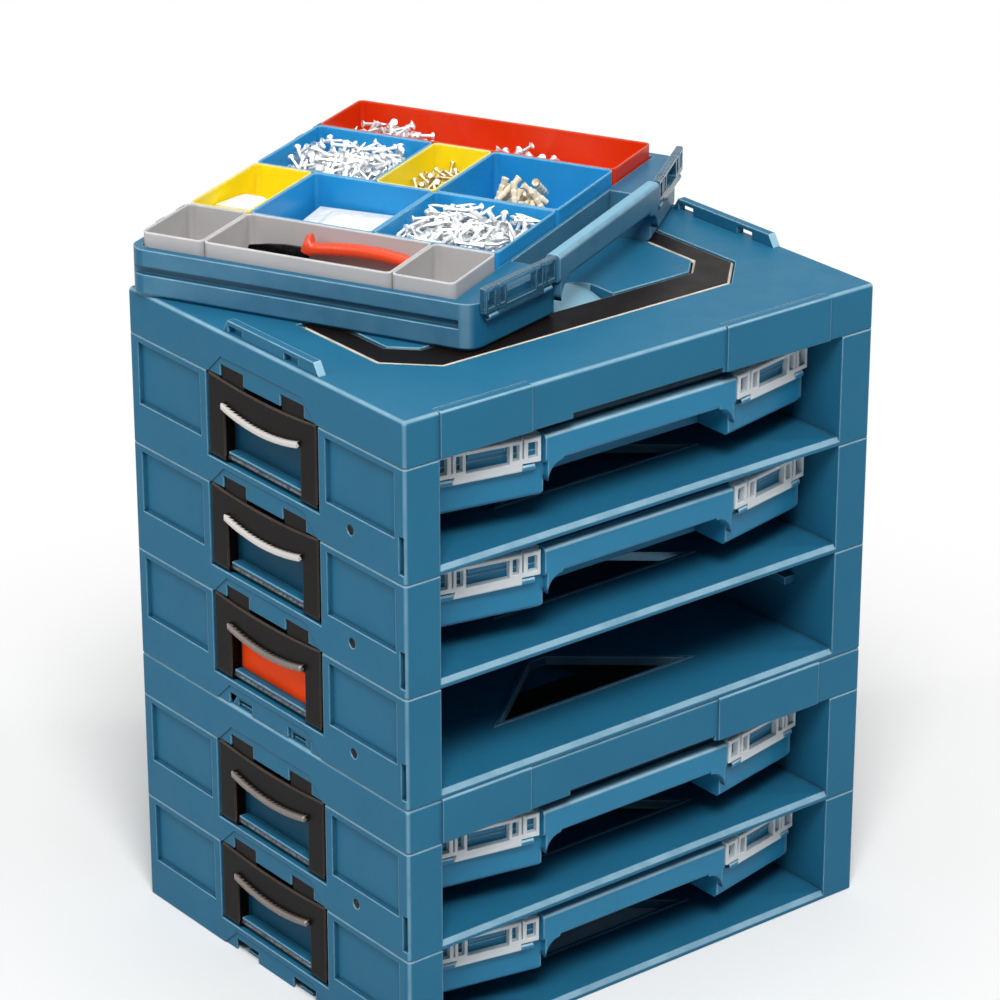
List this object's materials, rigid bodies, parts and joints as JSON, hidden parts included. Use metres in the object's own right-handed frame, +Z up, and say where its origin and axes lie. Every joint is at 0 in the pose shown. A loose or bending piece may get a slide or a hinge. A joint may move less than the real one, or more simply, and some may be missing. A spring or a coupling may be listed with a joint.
{
  "type": "stacked slide-in case rack",
  "caption": "Stack of slide-in racks holding flat small-parts cases on runners, with side clips, a fold-flat carry handle and an open case of coloured lift-out bins on top.",
  "frame": {"origin": "centre of the rack's underside, on the floor", "axes": "+X to the right along the front, -Y out of the front, +Z up the stack"},
  "size_m": [0.4507, 0.4836, 0.562],
  "materials": {
    "rack_blue": "moulded, fine texture",
    "clip_black": "moulded, satin",
    "steel": "bright",
    "marker_orange": "smooth",
    "case_blue": "moulded, fine texture",
    "clear_lid": "clear moulded",
    "clear_latch": "clear moulded",
    "grey_bin": "smooth moulded",
    "yellow_bin": "smooth moulded",
    "blue_bin": "smooth moulded",
    "red_bin": "smooth moulded"
  },
  "bodies": {
    "rack": {"bay_1": "rack_blue", "bay_2": "rack_blue", "bay_3": "rack_blue", "bay_4": "rack_blue", "bay_5": "rack_blue", "rack_lid_upper": "rack_blue", "rack_lid_lower": "rack_blue", "lid_catches_upper": "rack_blue", "lid_catches_lower": "rack_blue", "carry_handle_lower": "clip_black", "handle_pins": "steel", "clip_pins": "steel", "side_screws": "steel", "marker_plates": "marker_orange"},
    "carry_handle": {"carry_handle_upper": "clip_black"},
    "clip_left_1": {"clip_left_1": "clip_black"},
    "clip_right_1": {"clip_right_1": "clip_black"},
    "clip_left_2": {"clip_left_2": "clip_black"},
    "clip_right_2": {"clip_right_2": "clip_black"},
    "clip_left_3": {"clip_left_3": "clip_black"},
    "clip_right_3": {"clip_right_3": "clip_black"},
    "clip_left_4": {"clip_left_4": "clip_black"},
    "clip_right_4": {"clip_right_4": "clip_black"},
    "clip_left_5": {"clip_left_5": "clip_black"},
    "clip_right_5": {"clip_right_5": "clip_black"},
    "case_1": {"case_1_base": "case_blue", "case_1_lid": "clear_lid", "case_1_pins": "steel"},
    "case_1_latch_left": {"case_1_latch_left": "clear_latch"},
    "case_1_latch_right": {"case_1_latch_right": "clear_latch"},
    "case_2": {"case_2_base": "case_blue", "case_2_lid": "clear_lid", "case_2_pins": "steel"},
    "case_2_latch_left": {"case_2_latch_left": "clear_latch"},
    "case_2_latch_right": {"case_2_latch_right": "clear_latch"},
    "case_4": {"case_4_base": "case_blue", "case_4_lid": "clear_lid", "case_4_pins": "steel"},
    "case_4_latch_left": {"case_4_latch_left": "clear_latch"},
    "case_4_latch_right": {"case_4_latch_right": "clear_latch"},
    "case_5": {"case_5_base": "case_blue", "case_5_lid": "clear_lid", "case_5_pins": "steel"},
    "case_5_latch_left": {"case_5_latch_left": "clear_latch"},
    "case_5_latch_right": {"case_5_latch_right": "clear_latch"},
    "open_case": {"open_case_base": "case_blue", "open_case_pins": "steel"},
    "open_case_latch_left": {"open_case_latch_left": "clear_latch"},
    "open_case_latch_right": {"open_case_latch_right": "clear_latch"},
    "bin_grey_rear": {"bin_grey_rear": "grey_bin"},
    "bin_grey_long": {"bin_grey_long": "grey_bin"},
    "bin_grey_front": {"bin_grey_front": "grey_bin"},
    "bin_yellow_rear": {"bin_yellow_rear": "yellow_bin"},
    "bin_blue_middle": {"bin_blue_middle": "blue_bin"},
    "bin_blue_front": {"bin_blue_front": "blue_bin"},
    "bin_blue_rear": {"bin_blue_rear": "blue_bin"},
    "bin_yellow_middle": {"bin_yellow_middle": "yellow_bin"},
    "bin_blue_corner": {"bin_blue_corner": "blue_bin"},
    "bin_red_long": {"bin_red_long": "red_bin"}
  },
  "joints": [
    {"name": "clip_left_1_swing", "type": "hinge", "parent": "rack", "child": "clip_left_1", "pos_m": [-0.2165, 0, 0.415], "axis": [0, -1, 0], "range_deg": [0, 60]},
    {"name": "clip_right_1_swing", "type": "hinge", "parent": "rack", "child": "clip_right_1", "pos_m": [0.2165, 0, 0.415], "axis": [0, 1, 0], "range_deg": [0, 60]},
    {"name": "clip_left_2_swing", "type": "hinge", "parent": "rack", "child": "clip_left_2", "pos_m": [-0.2165, 0, 0.3265], "axis": [0, -1, 0], "range_deg": [0, 60]},
    {"name": "clip_right_2_swing", "type": "hinge", "parent": "rack", "child": "clip_right_2", "pos_m": [0.2165, 0, 0.3265], "axis": [0, 1, 0], "range_deg": [0, 60]},
    {"name": "clip_left_3_swing", "type": "hinge", "parent": "rack", "child": "clip_left_3", "pos_m": [-0.2165, 0, 0.238], "axis": [0, -1, 0], "range_deg": [0, 60]},
    {"name": "clip_right_3_swing", "type": "hinge", "parent": "rack", "child": "clip_right_3", "pos_m": [0.2165, 0, 0.238], "axis": [0, 1, 0], "range_deg": [0, 60]},
    {"name": "clip_left_4_swing", "type": "hinge", "parent": "rack", "child": "clip_left_4", "pos_m": [-0.2165, 0, 0.114], "axis": [0, -1, 0], "range_deg": [0, 60]},
    {"name": "clip_right_4_swing", "type": "hinge", "parent": "rack", "child": "clip_right_4", "pos_m": [0.2165, 0, 0.114], "axis": [0, 1, 0], "range_deg": [0, 60]},
    {"name": "clip_left_5_swing", "type": "hinge", "parent": "rack", "child": "clip_left_5", "pos_m": [-0.2165, 0, 0.0255], "axis": [0, -1, 0], "range_deg": [0, 60]},
    {"name": "clip_right_5_swing", "type": "hinge", "parent": "rack", "child": "clip_right_5", "pos_m": [0.2165, 0, 0.0255], "axis": [0, 1, 0], "range_deg": [0, 60]},
    {"name": "case_1_slide", "type": "slide", "parent": "rack", "child": "case_1", "axis": [0, -1, 0], "range_m": [0, 0.28]},
    {"name": "case_1_latch_left_swing", "type": "hinge", "parent": "case_1", "child": "case_1_latch_left", "pos_m": [-0.13468, -0.15277, 0.445], "axis": [0.9808, -0.1951, 0], "range_deg": [0, 100]},
    {"name": "case_1_latch_right_swing", "type": "hinge", "parent": "case_1", "child": "case_1_latch_right", "pos_m": [0.13468, -0.15277, 0.445], "axis": [0.9808, 0.1951, 0], "range_deg": [0, 100]},
    {"name": "case_2_slide", "type": "slide", "parent": "rack", "child": "case_2", "axis": [0, -1, 0], "range_m": [0, 0.28]},
    {"name": "case_2_latch_left_swing", "type": "hinge", "parent": "case_2", "child": "case_2_latch_left", "pos_m": [-0.13468, -0.15277, 0.3565], "axis": [0.9808, -0.1951, 0], "range_deg": [0, 100]},
    {"name": "case_2_latch_right_swing", "type": "hinge", "parent": "case_2", "child": "case_2_latch_right", "pos_m": [0.13468, -0.15277, 0.3565], "axis": [0.9808, 0.1951, 0], "range_deg": [0, 100]},
    {"name": "case_4_slide", "type": "slide", "parent": "rack", "child": "case_4", "axis": [0, -1, 0], "range_m": [0, 0.28]},
    {"name": "case_4_latch_left_swing", "type": "hinge", "parent": "case_4", "child": "case_4_latch_left", "pos_m": [-0.13468, -0.15277, 0.144], "axis": [0.9808, -0.1951, 0], "range_deg": [0, 100]},
    {"name": "case_4_latch_right_swing", "type": "hinge", "parent": "case_4", "child": "case_4_latch_right", "pos_m": [0.13468, -0.15277, 0.144], "axis": [0.9808, 0.1951, 0], "range_deg": [0, 100]},
    {"name": "case_5_slide", "type": "slide", "parent": "rack", "child": "case_5", "axis": [0, -1, 0], "range_m": [0, 0.28]},
    {"name": "case_5_latch_left_swing", "type": "hinge", "parent": "case_5", "child": "case_5_latch_left", "pos_m": [-0.13468, -0.15277, 0.0555], "axis": [0.9808, -0.1951, 0], "range_deg": [0, 100]},
    {"name": "case_5_latch_right_swing", "type": "hinge", "parent": "case_5", "child": "case_5_latch_right", "pos_m": [0.13468, -0.15277, 0.0555], "axis": [0.9808, 0.1951, 0], "range_deg": [0, 100]},
    {"name": "open_case_lift", "type": "slide", "parent": "rack", "child": "open_case", "axis": [0, 0, 1], "range_m": [0, 0.25]},
    {"name": "open_case_latch_left_swing", "type": "hinge", "parent": "open_case", "child": "open_case_latch_left", "pos_m": [-0.05615, -0.09106, 0.539], "axis": [0.9671, 0.2546, 0], "range_deg": [0, 100]},
    {"name": "open_case_latch_right_swing", "type": "hinge", "parent": "open_case", "child": "open_case_latch_right", "pos_m": [0.18595, 0.02702, 0.539], "axis": [0.796, 0.6053, 0], "range_deg": [0, 100]},
    {"name": "bin_grey_rear_lift", "type": "slide", "parent": "open_case", "child": "bin_grey_rear", "axis": [0, 0, 1], "range_m": [0, 0.06]},
    {"name": "bin_grey_long_lift", "type": "slide", "parent": "open_case", "child": "bin_grey_long", "axis": [0, 0, 1], "range_m": [0, 0.06]},
    {"name": "bin_grey_front_lift", "type": "slide", "parent": "open_case", "child": "bin_grey_front", "axis": [0, 0, 1], "range_m": [0, 0.06]},
    {"name": "bin_yellow_rear_lift", "type": "slide", "parent": "open_case", "child": "bin_yellow_rear", "axis": [0, 0, 1], "range_m": [0, 0.06]},
    {"name": "bin_blue_middle_lift", "type": "slide", "parent": "open_case", "child": "bin_blue_middle", "axis": [0, 0, 1], "range_m": [0, 0.06]},
    {"name": "bin_blue_front_lift", "type": "slide", "parent": "open_case", "child": "bin_blue_front", "axis": [0, 0, 1], "range_m": [0, 0.06]},
    {"name": "bin_blue_rear_lift", "type": "slide", "parent": "open_case", "child": "bin_blue_rear", "axis": [0, 0, 1], "range_m": [0, 0.06]},
    {"name": "bin_yellow_middle_lift", "type": "slide", "parent": "open_case", "child": "bin_yellow_middle", "axis": [0, 0, 1], "range_m": [0, 0.06]},
    {"name": "bin_blue_corner_lift", "type": "slide", "parent": "open_case", "child": "bin_blue_corner", "axis": [0, 0, 1], "range_m": [0, 0.06]},
    {"name": "bin_red_long_lift", "type": "slide", "parent": "open_case", "child": "bin_red_long", "axis": [0, 0, 1], "range_m": [0, 0.06]},
    {"name": "carry_handle_swing", "type": "hinge", "parent": "rack", "child": "carry_handle", "pos_m": [0, 0.02, 0.5085], "axis": [-1, 0, 0], "range_deg": [0, 90]}
  ],
  "couplings": [
    {"joint": "carry_handle_swing", "follows": "open_case_lift", "rad_per_m": 6.28}
  ]
}
